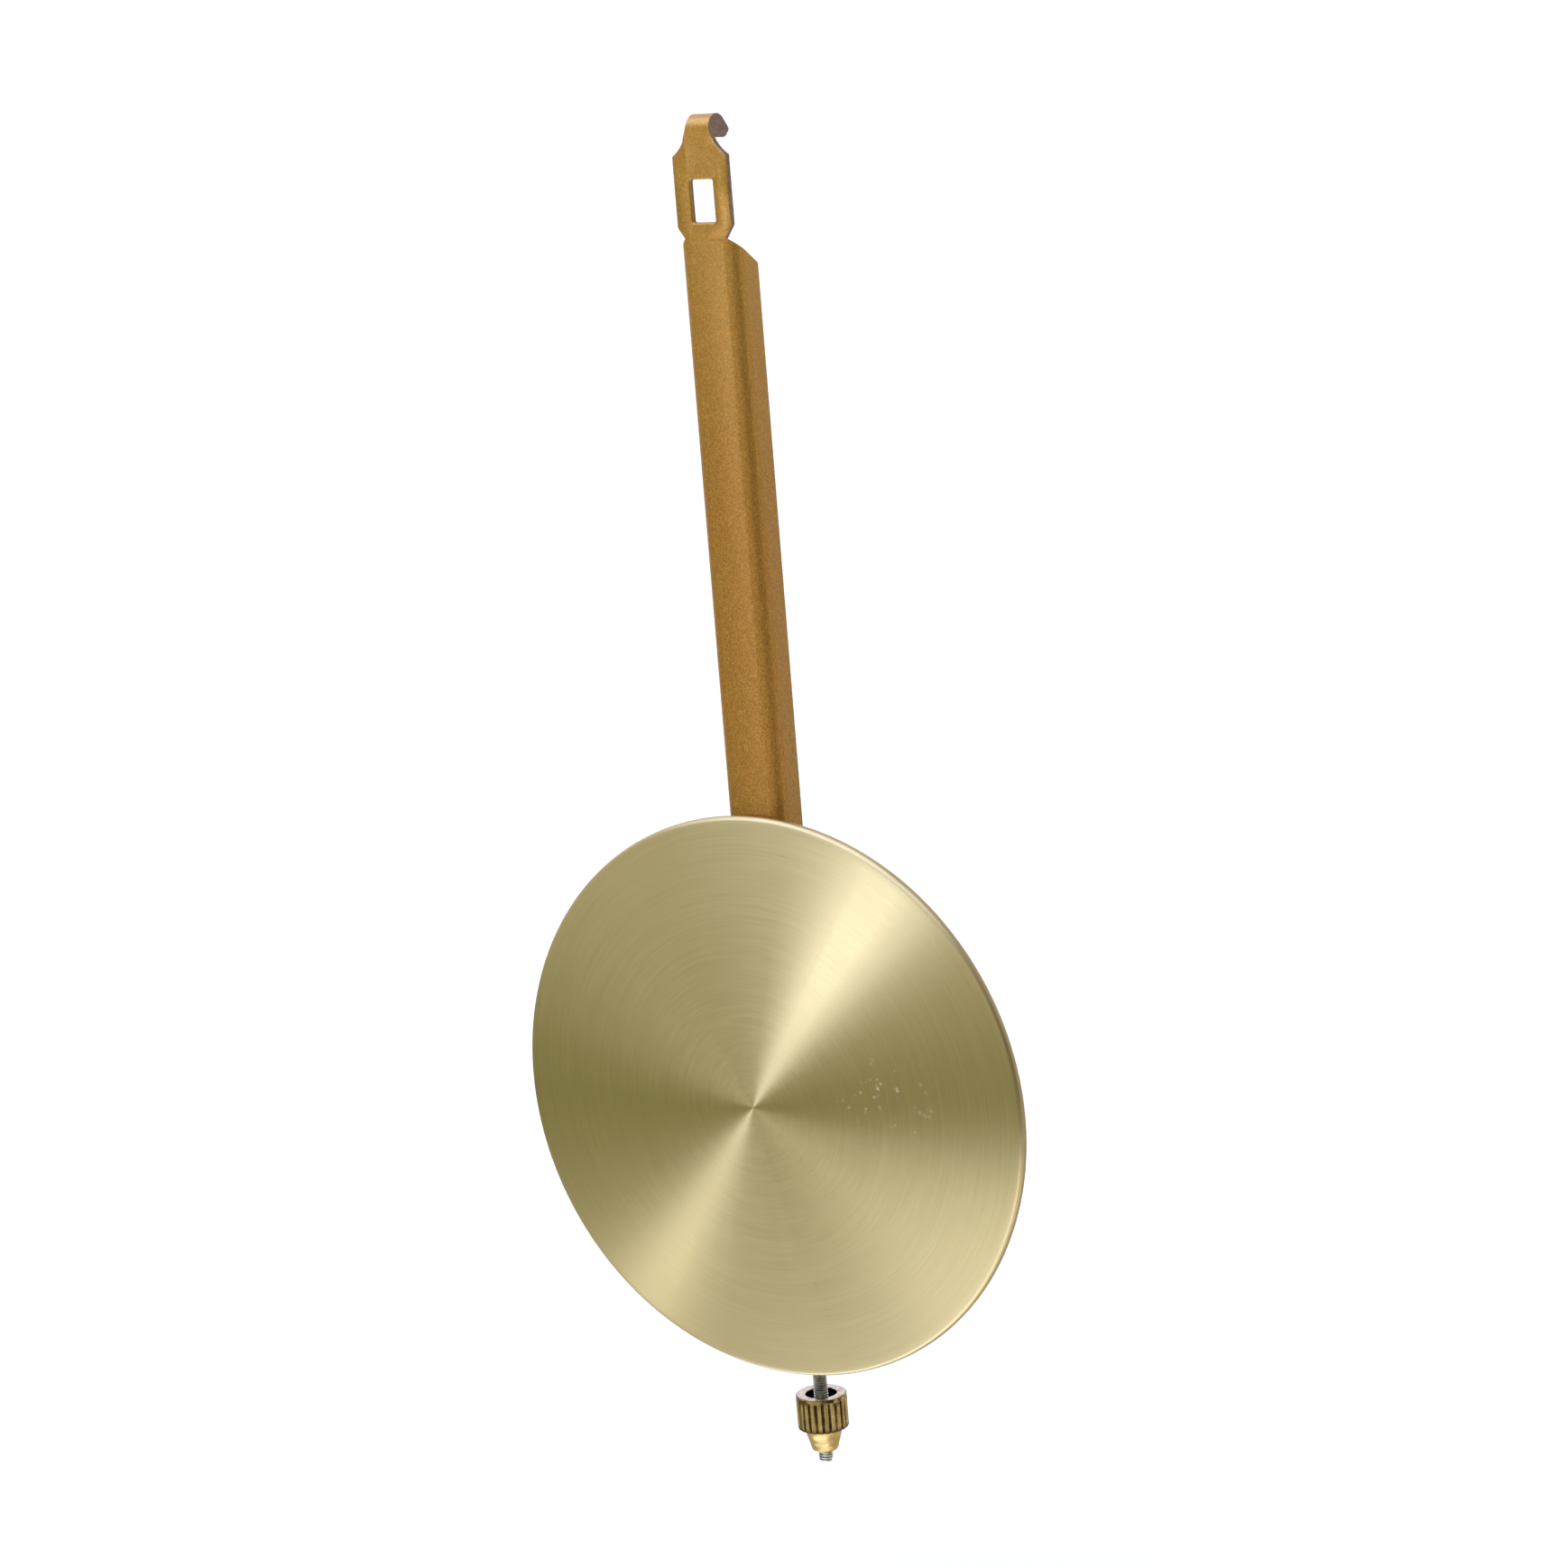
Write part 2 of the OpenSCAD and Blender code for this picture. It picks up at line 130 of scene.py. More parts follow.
class PendulumColours(bpy.types.PropertyGroup):
    """Colours of the finishes"""

    paint: colour("Paint", "Bronze gold paint of the stick", (0.395, 0.172, 0.012))
    # the flake tone also paints light on the coat towards the hook
    flake: colour("Flake", "Light grain in the paint", (0.72, 0.49, 0.10))
    # the bare tone is also a painted glint on the rounded edges that face right and up
    bare: colour("Bare edge", "Worn edge of the painted sheet", (0.97, 0.84, 0.66))
    # the cut tone is also painted shade inside the hook and on the rounded edges that face left and
    # down
    cut: colour("Cut edge", "Sheared face of the painted sheet", (0.21, 0.12, 0.08))
    brass: colour("Bob brass", "Pale brushed brass of the bob", (0.70, 0.60, 0.35))
    rim: colour("Rim brass", "Yellower brass of the rolled rim", (0.57, 0.455, 0.245))
    nut: colour("Nut brass", "Turned brass of the rating nut", (0.66, 0.47, 0.19))
    # doubled, the tarnish tone is also painted shade inside the recess in the nut's top
    tarnish: colour("Tarnish", "Brown tarnish in the nut's grooves", (0.055, 0.030, 0.012))
    zinc: colour("Zinc", "Dull zinc on the rod", (0.60, 0.61, 0.58))
    steel: colour("Steel", "Zinc plated steel behind the bob", (0.48, 0.48, 0.46))
    spring: colour("Spring", "Blued spring steel", (0.10, 0.12, 0.17))
    iron: colour("Iron", "Cast iron of the weight", (0.045, 0.045, 0.048))


# Meshes

def new_object(name, data):
    obj = bpy.data.objects.new(name, data)
    bpy.context.scene.collection.objects.link(obj)
    return obj


def mesh_from(name, points, faces):
    mesh = bpy.data.meshes.new(name)
    mesh.from_pydata(points, [], faces)
    mesh.update()
    return mesh


def joined(name, meshes):
    bm = bmesh.new()
    for mesh in meshes:
        bm.from_mesh(mesh)
    out = bpy.data.meshes.new(name)
    bm.to_mesh(out)
    bm.free()
    return out


def outward(mesh, sharp_deg):
    """Merges doubles, points the faces out, and shades them smooth except across sharper edges"""
    bm = bmesh.new()
    bm.from_mesh(mesh)
    bmesh.ops.remove_doubles(bm, verts=bm.verts, dist=MERGE)
    bmesh.ops.recalc_face_normals(bm, faces=bm.faces)
    for face in bm.faces:
        face.smooth = True
    for edge in bm.edges:
        edge.smooth = edge.calc_face_angle(math.pi) < math.radians(sharp_deg)
    bm.to_mesh(mesh)
    bm.free()
    mesh.update()


def circle(radius, steps):
    angles = [TURN * k / steps for k in range(steps)]
    return [(radius * math.cos(angle), radius * math.sin(angle)) for angle in angles]


def lathe(name, profile, steps, place, slots=None):
    """A closed profile of (radius, height) turned about a vertical axis, then placed by a matrix"""
    points, rings = [], []
    for radius, height in profile:
        start = len(points)
        if radius < MERGE:
            points.append((0, 0, height))
        else:
            points += [(x, y, height) for x, y in circle(radius, steps)]
        rings.append(range(start, len(points)))
    faces, mats = [], []
    for i, low in enumerate(rings):
        high = rings[(i + 1) % len(rings)]
        if len(low) == 1 and len(high) == 1:
            continue
        for k in range(steps):
            n = (k + 1) % steps
            corners = (
                low[k % len(low)], low[n % len(low)],
                high[n % len(high)], high[k % len(high)])
            # where a ring is one point on the axis, two corners are the same
            faces.append(list(dict.fromkeys(corners)))
            mats.append(slots[i] if slots else 0)
    mesh = mesh_from(name, points, faces)
    mesh.polygons.foreach_set("material_index", mats)
    mesh.transform(place)
    return mesh


def apply_modifiers(obj):
    """Turns the evaluated object into a plain mesh and takes its modifiers off"""
    bpy.context.view_layer.update()
    evaluated = obj.evaluated_get(bpy.context.evaluated_depsgraph_get())
    mesh = bpy.data.meshes.new_from_object(evaluated)
    mesh.name = obj.name
    obj.modifiers.clear()
    obj.data = mesh


def softened(node, name, width, chosen=None):
    """A copy of a CAD node with its flat faces joined and its sharp or chosen edges rounded"""
    bm = bmesh.new()
    bm.from_mesh(NODES[node].data)
    bmesh.ops.remove_doubles(bm, verts=bm.verts, dist=CAD_MERGE)
    bmesh.ops.dissolve_degenerate(bm, edges=bm.edges, dist=CAD_SLIVER)
    bmesh.ops.dissolve_limit(bm, angle_limit=FLAT, verts=bm.verts, edges=bm.edges)
    if chosen:
        weight = bm.edges.layers.float.new("bevel_weight_edge")
        for edge in bm.edges:
            edge[weight] = float(chosen(edge))
            edge.smooth = edge[weight] > 0 or edge.calc_face_angle(math.pi) < SHARP
    mesh = bpy.data.meshes.new(name)
    bm.to_mesh(mesh)
    bm.free()
    for polygon in mesh.polygons:
        polygon.use_smooth = True
    obj = new_object(name, mesh)
    bevel = obj.modifiers.new("Edge", "BEVEL")
    bevel.width = width
    bevel.segments = 2
    bevel.limit_method = "WEIGHT" if chosen else "ANGLE"
    bevel.angle_limit = SHARP
    bevel.material = ROUNDED
    bevel.use_clamp_overlap = not chosen
    bevel.harden_normals = True
    apply_modifiers(obj)
    return obj


def finish_piece(obj, body, nodes, materials):
    """Gives the piece its materials, and keeps which face takes which one"""
    mesh = obj.data
    taken = [0] * len(mesh.polygons)
    mesh.polygons.foreach_get("material_index", taken)
    mesh.materials.clear()
    for material in materials:
        mesh.materials.append(material)
    mesh.polygons.foreach_set("material_index", [min(k, len(materials) - 1) for k in taken])
    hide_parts(*nodes)
    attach(obj, body)


# Node trees

class NodeBuilder:
    """Adds nodes to a tree, and feeds their sockets with links or with plain values"""

    # places of the colour sockets on a Mix node, whose other kinds have the same names
    MIX_A, MIX_B, MIX_RESULT = 6, 7, 2

    def __init__(self, tree):
        self.nodes = tree.nodes
        self.links = tree.links

    def feed(self, socket, value):
        if isinstance(value, bpy.types.Node):
            value = value.outputs[0]
        if isinstance(value, bpy.types.NodeSocket):
            self.links.new(value, socket)
        else:
            socket.default_value = value

    def node(self, kind, *values, settings=None, **named):
        """A node whose sockets are fed in their order, or by name with _ for a space"""
        made = self.nodes.new(kind)
        for key, value in (settings or {}).items():
            setattr(made, key, value)
        for socket, value in zip(made.inputs, values):
            self.feed(socket, value)
        for key, value in named.items():
            self.feed(made.inputs[key.replace("_", " ")], value)
        return made

    def maths(self, operation, *values):
        settings = {"operation": operation}
        return self.node("ShaderNodeMath", *values, settings=settings).outputs[0]

    def times(self, product, *factors):
        for factor in factors:
            product = self.maths("MULTIPLY", product, factor)
        return product

    def merge(self, x=0.0, y=0.0, z=0.0):
        return self.node("ShaderNodeCombineXYZ", x, y, z).outputs[0]

    def split(self, vector):
        return self.node("ShaderNodeSeparateXYZ", vector).outputs

    def mix(self, share, a, b):
        """Colour b over colour a, as far as the share says"""
        made = self.node("ShaderNodeMix", share, settings={"data_type": "RGBA"})
        for place, tone in ((self.MIX_A, a), (self.MIX_B, b)):
            self.feed(made.inputs[place], (*tone, 1) if isinstance(tone, tuple) else tone)
        return made.outputs[self.MIX_RESULT]


class Tree(NodeBuilder):
    """A geometry node tree with named inputs, that ends in realised instances and a material"""

    def __init__(self, name, material, inputs):
        self.tree = bpy.data.node_groups.new(name, "GeometryNodeTree")
        super().__init__(self.tree)
        self.material = material
        self.values = {}
        face = self.tree.interface
        face.new_socket("Geometry", in_out="INPUT", socket_type="NodeSocketGeometry")
        for label, value in inputs.items():
            kind = "NodeSocketInt" if isinstance(value, int) else "NodeSocketFloat"
            socket = face.new_socket(label, in_out="INPUT", socket_type=kind)
            self.values[socket.identifier] = value
        face.new_socket("Geometry", in_out="OUTPUT", socket_type="NodeSocketGeometry")
        self.given = self.nodes.new("NodeGroupInput").outputs

    def close(self, geometry):
        real = self.node("GeometryNodeRealizeInstances", Geometry=geometry)
        painted = self.node("GeometryNodeSetMaterial", Geometry=real, Material=self.material)
        self.node("NodeGroupOutput", painted)

    def apply(self, obj):
        modifier = obj.modifiers.new(self.tree.name, "NODES")
        modifier.node_group = self.tree
        for identifier, value in self.values.items():
            modifier[identifier] = value
        apply_modifiers(obj)


def rows_tree(material, across, along, n_across, n_along):
    """Sets the piece out in a grid of points, across X and up Z"""
    tree = Tree("Rivet rows", material, {
        "Across": across, "Along": along, "Count across": n_across, "Count along": n_along})
    given = tree.given
    spaced = {"mode": "OFFSET"}
    row = tree.node(
        "GeometryNodeMeshLine", settings=spaced, Count=given["Count across"],
        Start_Location=tree.merge(tree.times(given["Across"], -0.5)),
        Offset=tree.merge(given["Across"]))
    column = tree.node(
        "GeometryNodeMeshLine", settings=spaced, Count=given["Count along"],
        Offset=tree.merge(z=given["Along"]))
    one_row = tree.node("GeometryNodeInstanceOnPoints", Points=row, Instance=given["Geometry"])
    rows = tree.node("GeometryNodeInstanceOnPoints", Points=column, Instance=one_row)
    tree.close(rows)
    return tree


def ring_tree(material, count, radius):
    """Sets the piece out round a circle, each one turned to face out"""
    tree = Tree("Knurl ribs", material, {"Ribs": count, "Radius": radius})
    given = tree.given
    ring = tree.node("GeometryNodeMeshCircle", Vertices=given["Ribs"], Radius=given["Radius"])
    index = tree.node("GeometryNodeInputIndex")
    angle = tree.maths("DIVIDE", tree.times(index, TURN), given["Ribs"])
    ribs = tree.node(
        "GeometryNodeInstanceOnPoints", Points=ring, Instance=given["Geometry"],
        Rotation=tree.merge(z=angle))
    tree.close(ribs)
    return tree


def helix_tree(material, radius, pitch, turns, root_w, crest_w, depth):
    """A ridge wound round the Z axis on a right-hand helix"""
    tree = Tree("Thread ridge", material, {
        "Radius": radius, "Pitch": pitch, "Turns": turns,
        "Root width": root_w, "Crest width": crest_w, "Depth": depth})
    given = tree.given
    spiral = tree.node(
        "GeometryNodeCurveSpiral", Resolution=32, Rotations=given["Turns"],
        Start_Radius=given["Radius"], End_Radius=given["Radius"],
        Height=tree.times(given["Pitch"], given["Turns"]))
    upright = tree.node("GeometryNodeSetCurveNormal", settings={"mode": "Z_UP"}, Curve=spiral)
    section = tree.node(
        "GeometryNodeCurvePrimitiveQuadrilateral", settings={"mode": "TRAPEZOID"},
        Bottom_Width=given["Root width"], Top_Width=given["Crest width"],
        Height=given["Depth"], Offset=0.0)
    ridge = tree.node(
        "GeometryNodeCurveToMesh", Curve=upright, Profile_Curve=section, Fill_Caps=True)
    tree.close(ridge)
    return tree


# Finishes

class Finish(NodeBuilder):
    """A node material around one shader, read from the object's own coordinates"""

    def __init__(self, name, **values):
        self.material = bpy.data.materials.new(name)
        self.material.use_nodes = True
        super().__init__(self.material.node_tree)
        self.shader = self.nodes["Principled BSDF"]
        self.set(**values)
        self.place = self.nodes.new("ShaderNodeTexCoord").outputs["Object"]

    def set(self, **fed):
        for key, value in fed.items():
            self.feed(self.shader.inputs[key.replace("_", " ")], value)
        return self.material

    def vector(self, operation, *values):
        made = self.node("ShaderNodeVectorMath", *values, settings={"operation": operation})
        return made.outputs["Value" if operation in ("LENGTH", "DISTANCE") else "Vector"]

    def noise(self, scale, detail=2.0, rough=0.5, at=None):
        """Soft noise with about that many grains to a metre, or to a unit of what it reads"""
        made = self.node(
            "ShaderNodeTexNoise", Scale=scale, Detail=detail, Roughness=rough,
            Vector=self.place if at is None else at)
        return made.outputs["Fac"]

    def streaks(self, parts, scales, detail=3):
        """Noise that is stretched along each part by a scale of its own"""
        at = self.merge(*[self.times(part, scale) for part, scale in zip(parts, scales)])
        return self.noise(1.0, detail, 0.6, at=at)

    def specks(self, scale):
        """Distance to the nearest of scattered points, about that many to a metre"""
        return self.node("ShaderNodeTexVoronoi", Vector=self.place, Scale=scale).outputs["Distance"]

    def spread(self, value, low, high, to_low=0.0, to_high=1.0):
        """The value's range from low to high, clamped and spread over another range"""
        return self.node("ShaderNodeMapRange", value, low, high, to_low, to_high).outputs[0]

    def bump(self, height, depth, under=None):
        made = self.node("ShaderNodeBump", Height=height, Distance=depth)
        if under is not None:
            self.feed(made.inputs["Normal"], under)
        return made.outputs[0]

    def from_bob_axis(self):
        """The flat vector to the point from the axis through the bob's middle"""
        middle = (0, 0, BOB_AXIS_Z)
        return self.vector("MULTIPLY", self.vector("SUBTRACT", self.place, middle), (1, 0, 1))

    def from_rod_axis(self, height):
        """The three parts of the place, counted from the rod's axis and the given height"""
        return self.split(self.vector("SUBTRACT", self.place, (0, ROD_AXIS_Y, height)))

    def radius(self, x, y):
        """Distance from the axis that the two parts are counted from"""
        return self.maths("SQRT", self.maths("ADD", self.times(x, x), self.times(y, y)))


def shade(rgb, factor):
    return tuple(min(1.0, channel * factor) for channel in rgb)


def tones_of(context):
    colours = context.scene.pendulum_colours
    return {key: tuple(getattr(colours, key)) for key in PendulumColours.__annotations__}


def paint_finish(tones):
    """Satin bronze gold paint with a fine metallic grain"""
    f = Finish("bronze paint", Metallic=0.58, Coat_Weight=0.6, Coat_Roughness=0.34)
    paint, flake = tones["paint"], tones["flake"]
    grain = f.noise(4200, 3, 0.7)
    fleck = f.spread(f.noise(2600, 2, 0.6), 0.50, 0.75)
    blotch = f.noise(900, 3, 0.6)
    base = f.mix(f.spread(grain, 0.36, 0.64), shade(paint, 0.62), shade(paint, 1.42))
    base = f.mix(f.times(fleck, 0.35), base, flake)
    base = f.mix(f.spread(blotch, 0.40, 0.62, 0.0, 0.22), base, shade(paint, 0.78))
    # one pale chip, a millimetre wide, on the left bend where it goes behind the bob
    chip_at, chip_tone = (-0.0052, -0.0020, -0.1160), (0.75, 0.70, 0.62)
    chip = f.spread(f.vector("DISTANCE", f.place, chip_at), 0.00035, 0.0006, 1.0, 0.0)
    base = f.mix(chip, base, chip_tone)
    x, _, z = f.split(f.place)
    # painted light: the coat is made a little lighter towards the hook with the flake tone
    base = f.mix(f.spread(z, -0.060, -0.010, 0.0, 0.16), base, flake)
    # the folded face is a little crowned between its two bends, by 0.1 mm
    bend_x, crown = 0.003, -13.0
    out = f.maths("MINIMUM", f.maths("ABSOLUTE", x), bend_x)
    rise = f.times(out, out, f.spread(z, -0.028, -0.018, crown, 0.0))
    peel = f.bump(f.noise(1300, 2), 0.00003, f.bump(rise, 1.0))
    return f.set(
        Base_Color=base, Roughness=f.spread(grain, 0.3, 0.7, 0.31, 0.43),
        Normal=f.bump(grain, 0.000010, peel), Coat_Normal=peel)


def bare_finish(tones):
    """Thin, worn paint on the rounded edges of the sheet that face right and up, pale as a painted
    glint
    """
    f = Finish("worn paint edge and painted glint", Specular_IOR_Level=1.0)
    z = f.split(f.place)[2]
    patches = f.spread(f.noise(420, 3, 0.6), 0.24, 0.38)
    wear = f.times(patches, f.spread(z, -0.014, -0.009, 0.75, 1.0))
    base = f.mix(wear, shade(tones["paint"], 1.1), tones["bare"])
    return f.set(
        Base_Color=base, Roughness=f.spread(wear, 0, 1, 0.42, 0.3),
        Normal=f.bump(f.noise(2500, 2), 0.00001))


def cut_and_shade_finish(tones):
    """Dark brown cut faces of the sheet, which took little paint, and painted shade inside the hook
    and on edges facing left and down
    """
    f = Finish("cut sheet edge and painted shade", Metallic=0.3, Roughness=0.5)
    drag = f.noise(900, 4, 0.6, at=f.vector("MULTIPLY", f.place, (1, 3, 1)))
    base = f.mix(f.spread(drag, 0.35, 0.65), shade(tones["cut"], 0.75), shade(tones["cut"], 1.35))
    return f.set(Base_Color=base, Normal=f.bump(drag, 0.00002))


def brushed_finish(tones):
    """Brass brushed in circles about the bob's middle, with faint spokes and a cluster of flecks"""
    f = Finish("brushed brass", Anisotropic=0.9)
    brass, fleck_tone = tones["brass"], (0.86, 0.82, 0.66)
    arm = f.from_bob_axis()
    radius, along = f.vector("LENGTH", arm), f.vector("NORMALIZE", arm)
    x, _, z = f.split(along)
    lines = f.streaks((x, z, radius), (2.6, 2.6, 4200))
    broad = f.streaks((x, z, radius), (1.3, 1.3, 800), detail=2)
    spokes = f.noise(1.0, 3, 0.6, at=f.vector("MULTIPLY", along, (9, 0, 9)))
    base = f.mix(f.spread(lines, 0.3, 0.7), shade(brass, 0.95), shade(brass, 1.05))
    base = f.mix(f.spread(broad, 0.35, 0.7, 0.0, 0.3), base, shade(brass, 0.94))
    # the flecks gather round one place, right of the stick and just above the bob's middle
    cluster = (0.0262, -0.0085, BOB_AXIS_Z + 0.0025)
    near = f.spread(f.vector("DISTANCE", f.place, cluster), 0.003, 0.011, 0.8, 0.0)
    marks = f.spread(f.specks(900), 0.16, 0.36, 1.0, 0.0)
    flecks = f.times(marks, near, f.spread(f.noise(420, 2), 0.48, 0.64))
    base = f.mix(f.times(flecks, 0.5), base, fleck_tone)
    rough = f.maths(
        "ADD", f.spread(lines, 0.3, 0.7, 0.28, 0.32), f.spread(spokes, 0.3, 0.7, -0.01, 0.01))
    return f.set(
        Base_Color=base, Metallic=f.spread(flecks, 0.0, 1.0, 1.0, 0.6), Roughness=rough,
        Tangent=along)


def rim_finish(tones):
    """Smoother, yellower brass of the rolled rim and of the shell's inside"""
    f = Finish("rolled rim brass", Metallic=1.0)
    x, _, z = f.split(f.vector("NORMALIZE", f.from_bob_axis()))
    depth = f.split(f.place)[1]
    lines = f.streaks((x, z, depth), (3.0, 3.0, 6000))
    stain = f.spread(f.noise(90, 3), 0.35, 0.7)
    base = f.mix(stain, tones["rim"], shade(tones["rim"], 0.82))
    return f.set(
        Base_Color=base, Roughness=f.spread(lines, 0.3, 0.7, 0.38, 0.48),
        Normal=f.bump(lines, 0.000002))


def aged_brass(f, tones):
    """The nut's brass with patches of patina, and the noise that those follow"""
    patina = f.noise(420, 4, 0.6)
    f.set(Roughness=f.spread(patina, 0.3, 0.7, 0.2, 0.4))
    return f.mix(f.spread(patina, 0.40, 0.65), tones["nut"], shade(tones["nut"], 0.62)), patina


def knurl_finish(tones):
    """Aged brass, tarnished brown in the knurl's grooves and in spots near its top, and darker
    towards its lower end
    """
    f = Finish("aged nut brass", Metallic=1.0)
    base, patina = aged_brass(f, tones)
    x, y, z = f.from_rod_axis(NUT_LOW.z)
    sunk = f.spread(f.radius(x, y), 0.00432, 0.00448, 1.0, 0.0)
    # darker towards the knurl's lower end, over a ragged edge
    foot = f.spread(f.maths("ADD", z, f.times(patina, 0.0016)), 0.0060, 0.0052)
    nicks = f.times(
        f.spread(z, 0.0086, 0.0096), f.spread(f.noise(900, 2, 0.6), 0.46, 0.56), 0.8)
    darkened = f.maths("MAXIMUM", sunk, f.maths("MAXIMUM", foot, nicks))
    darkened = f.times(darkened, f.spread(patina, 0.3, 0.55, 0.75, 1.0))
    base = f.mix(darkened, base, tones["tarnish"])
    return f.set(Base_Color=base, Normal=f.bump(f.noise(1100, 3, 0.6), 0.00002))


def turned_finish(tones, name):
    """Aged brass with the fine rings that a lathe leaves"""
    f = Finish(name, Metallic=1.0)
    base, _ = aged_brass(f, tones)
    rings = f.streaks(f.from_rod_axis(NUT_LOW.z), (120, 120, 5200))
    base = f.mix(f.spread(rings, 0.3, 0.7, 0.0, 0.35), base, shade(tones["nut"], 1.5))
    return f.set(Base_Color=base, Normal=f.bump(rings, 0.000012))


def ring_finish(tones):
    """Pale, bright face of the nut's top, and painted shade inside its recess"""
    f = Finish("nut top brass", Metallic=1.0, Roughness=0.16)
    x, y, z = f.from_rod_axis(NUT_HIGH.z)
    turned = f.streaks((f.radius(x, y),), (5000,))
    dull, bright, stain = (0.62, 0.50, 0.45), (0.78, 0.68, 0.64), (0.25, 0.16, 0.12)
    face = f.mix(f.spread(turned, 0.3, 0.7), dull, bright)
    face = f.mix(f.spread(f.noise(850, 3, 0.6), 0.52, 0.64, 0.0, 0.8), face, stain)
    # painted shade: below the top face, the recess takes a dark brown made from the tarnish tone
    base = f.mix(f.spread(z, -0.0004, -0.0001), shade(tones["tarnish"], 2.0), face)
    return f.set(Base_Color=base, Normal=f.bump(turned, 0.000004))


def zinc_finish(tones):
    """Dull zinc plate with a mottled bloom"""
    f = Finish("dull zinc", Metallic=1.0)
    bloom = f.noise(700, 4, 0.65)
    base = f.mix(f.spread(bloom, 0.35, 0.65), shade(tones["zinc"], 0.6), shade(tones["zinc"], 1.35))
    return f.set(
        Base_Color=base, Roughness=f.spread(bloom, 0.3, 0.7, 0.28, 0.48),
        Normal=f.bump(f.noise(3000, 2), 0.00001))


def steel_finish(name, tone, rough, scale, stretch=(1, 1, 1)):
    """Plated or blued steel with rolling lines and light stains"""
    f = Finish(name, Metallic=1.0)
    lines = f.noise(scale, 4, 0.6, at=f.vector("MULTIPLY", f.place, stretch))
    stain = f.noise(60, 3, 0.55)
    base = f.mix(f.spread(lines, 0.3, 0.7), shade(tone, 0.85), shade(tone, 1.12))
    base = f.mix(f.spread(stain, 0.4, 0.75, 0.0, 0.35), base, shade(tone, 0.7))
    return f.set(
        Base_Color=base, Roughness=f.spread(stain, 0.3, 0.7, rough - 0.06, rough + 0.1),
        Normal=f.bump(lines, 0.000005))


def iron_finish(tones):
    """Cast iron with its sand skin"""
    f = Finish("cast iron", Metallic=0.9, Roughness=0.62)
    skin = f.noise(900, 4, 0.6)
    base = f.mix(f.spread(skin, 0.3, 0.7), shade(tones["iron"], 0.7), shade(tones["iron"], 1.5))
    return f.set(Base_Color=base, Normal=f.bump(skin, 0.00008))


# Pieces

def rolled_over(edge):
    """Tells the front edges of the tab and of its window, which the punch rounded"""
    return edge.calc_face_angle(0) > SHARP and all(
        point.co.y < TAB_FRONT_Y and NOTCH_Z < point.co.z < TAB_TOP_Z for point in edge.verts)


def cut_or_shaded(face):
    """Tells the cut faces of the folded sheet, and the hook's inside in painted shade, from the
    well painted faces
    """
    normal, middle = face.normal, face.center
    if middle.z > SHOULDER_Z and middle.y > TAB_FRONT_Y:
        # painted shade: faces inside the hook's curl, which look towards its axis, take the dark
        # cut tone
        looks_in = normal.y * middle.y + normal.z * middle.z < 0
        return abs(normal.x) > 0.6 or looks_in
    if middle.z > NECK_Z:
        return abs(normal.y) < 0.3
    top = normal.z > 0.2 and middle.z > SLANT_Z
    back = normal.y > 0.9 and middle.y > CHANNEL_BACK_Y
    return top or back


class PENDULUM_OT_stick(bpy.types.Operator):
    """Softens the edges of the folded stick and paints it"""

    bl_idname = "pendulum.stick"
    bl_label = "Stick"

    def execute(self, context):
        sizes, tones = context.scene.pendulum_sizes, tones_of(context)
        obj = softened("pendulum_stick", "painted_stick", sizes.edge_round, rolled_over)
        materials = [paint_finish(tones), bare_finish(tones), cut_and_shade_finish(tones)]
        for face in obj.data.polygons:
            if face.material_index == ROUNDED:
                # painted glint and shade: rounded edges facing right and up keep the pale worn
                # tone, the others take the cut tone
                brown = face.normal.x + face.normal.z < 0.2
            else:
                brown = cut_or_shaded(face)
            if brown:
                face.material_index = len(materials) - 1
        finish_piece(obj, "stick", ["pendulum_stick"], materials)
        return {"FINISHED"}


